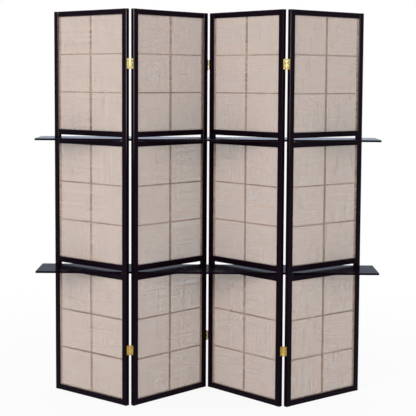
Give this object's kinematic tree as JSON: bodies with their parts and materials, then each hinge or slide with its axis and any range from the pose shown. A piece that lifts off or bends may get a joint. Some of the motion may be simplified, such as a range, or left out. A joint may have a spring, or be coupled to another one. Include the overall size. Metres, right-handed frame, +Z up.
{
  "type": "folding screen with shelves",
  "caption": "Folding room screen of hinged wood frames with woven fabric panels, and long shelf boards through slots in the panels.",
  "frame": {"origin": "on the floor, at the middle of the screen's box", "axes": "+X to the right seen from the front, +Y to the back, +Z up"},
  "size_m": [1.552, 0.3224, 1.784],
  "materials": {
    "frame_wood": "dark espresso stain under a satin lacquer",
    "shelf_board": "dark espresso, smooth satin lacquer",
    "woven_fabric": "plain woven tan cloth, slightly see-through",
    "brass_hinge": "polished brass plating"
  },
  "bodies": {
    "panel_2": {"panel_2_left_stile": "frame_wood", "panel_2_right_stile": "frame_wood", "panel_2_top_rail": "frame_wood", "panel_2_bottom_rail": "frame_wood", "panel_2_upper_slot_rails": "frame_wood", "panel_2_lower_slot_rails": "frame_wood", "panel_2_lattice": "frame_wood", "panel_2_upper_fabric": "woven_fabric", "panel_2_middle_fabric": "woven_fabric", "panel_2_lower_fabric": "woven_fabric", "panel_2_hinge_screws": "brass_hinge", "left_fold_leaves_panel_2": "brass_hinge", "centre_fold_leaves_panel_2": "brass_hinge"},
    "panel_3": {"panel_3_left_stile": "frame_wood", "panel_3_right_stile": "frame_wood", "panel_3_top_rail": "frame_wood", "panel_3_bottom_rail": "frame_wood", "panel_3_upper_slot_rails": "frame_wood", "panel_3_lower_slot_rails": "frame_wood", "panel_3_lattice": "frame_wood", "panel_3_upper_fabric": "woven_fabric", "panel_3_middle_fabric": "woven_fabric", "panel_3_lower_fabric": "woven_fabric", "panel_3_hinge_screws": "brass_hinge", "centre_fold_leaves_panel_3": "brass_hinge", "right_fold_leaves_panel_3": "brass_hinge"},
    "panel_1": {"panel_1_left_stile": "frame_wood", "panel_1_right_stile": "frame_wood", "panel_1_top_rail": "frame_wood", "panel_1_bottom_rail": "frame_wood", "panel_1_upper_slot_rails": "frame_wood", "panel_1_lower_slot_rails": "frame_wood", "panel_1_lattice": "frame_wood", "panel_1_upper_fabric": "woven_fabric", "panel_1_middle_fabric": "woven_fabric", "panel_1_lower_fabric": "woven_fabric", "panel_1_hinge_screws": "brass_hinge", "left_fold_leaves_panel_1": "brass_hinge", "left_fold_pins": "brass_hinge"},
    "panel_4": {"panel_4_left_stile": "frame_wood", "panel_4_right_stile": "frame_wood", "panel_4_top_rail": "frame_wood", "panel_4_bottom_rail": "frame_wood", "panel_4_upper_slot_rails": "frame_wood", "panel_4_lower_slot_rails": "frame_wood", "panel_4_lattice": "frame_wood", "panel_4_upper_fabric": "woven_fabric", "panel_4_middle_fabric": "woven_fabric", "panel_4_lower_fabric": "woven_fabric", "panel_4_hinge_screws": "brass_hinge", "right_fold_leaves_panel_4": "brass_hinge", "right_fold_pins": "brass_hinge"},
    "centre_pins": {"centre_fold_pins": "brass_hinge"},
    "upper_shelf": {"upper_shelf": "shelf_board"},
    "lower_shelf": {"lower_shelf": "shelf_board"}
  },
  "joints": [
    {"name": "centre_fold", "type": "hinge", "parent": "panel_2", "child": "panel_3", "pos_m": [0, 0.14723, 0.252], "axis": [0, 0, -1], "range_deg": [0, 93.2]},
    {"name": "left_fold", "type": "hinge", "parent": "panel_2", "child": "panel_1", "pos_m": [-0.34623, -0.14522, 0.252], "axis": [0, 0, -1], "range_deg": [0, 100]},
    {"name": "right_fold", "type": "hinge", "parent": "panel_3", "child": "panel_4", "pos_m": [0.34623, -0.14522, 0.252], "axis": [0, 0, 1], "range_deg": [0, 100]},
    {"name": "centre_pins_turn", "type": "hinge", "parent": "panel_2", "child": "centre_pins", "pos_m": [0, 0.14723, 0.252], "axis": [0, 0, -1], "range_deg": [0, 46.6]},
    {"name": "upper_shelf_slide", "type": "slide", "parent": "centre_pins", "child": "upper_shelf", "axis": [1, 0, 0], "range_m": [-1.5, 1.5]},
    {"name": "lower_shelf_slide", "type": "slide", "parent": "centre_pins", "child": "lower_shelf", "axis": [1, 0, 0], "range_m": [-1.5, 1.5]}
  ],
  "couplings": [
    {"joint": "left_fold", "follows": "centre_fold", "ratio": 1.0729},
    {"joint": "right_fold", "follows": "centre_fold", "ratio": 1.0729},
    {"joint": "centre_pins_turn", "follows": "centre_fold", "ratio": 0.5}
  ]
}
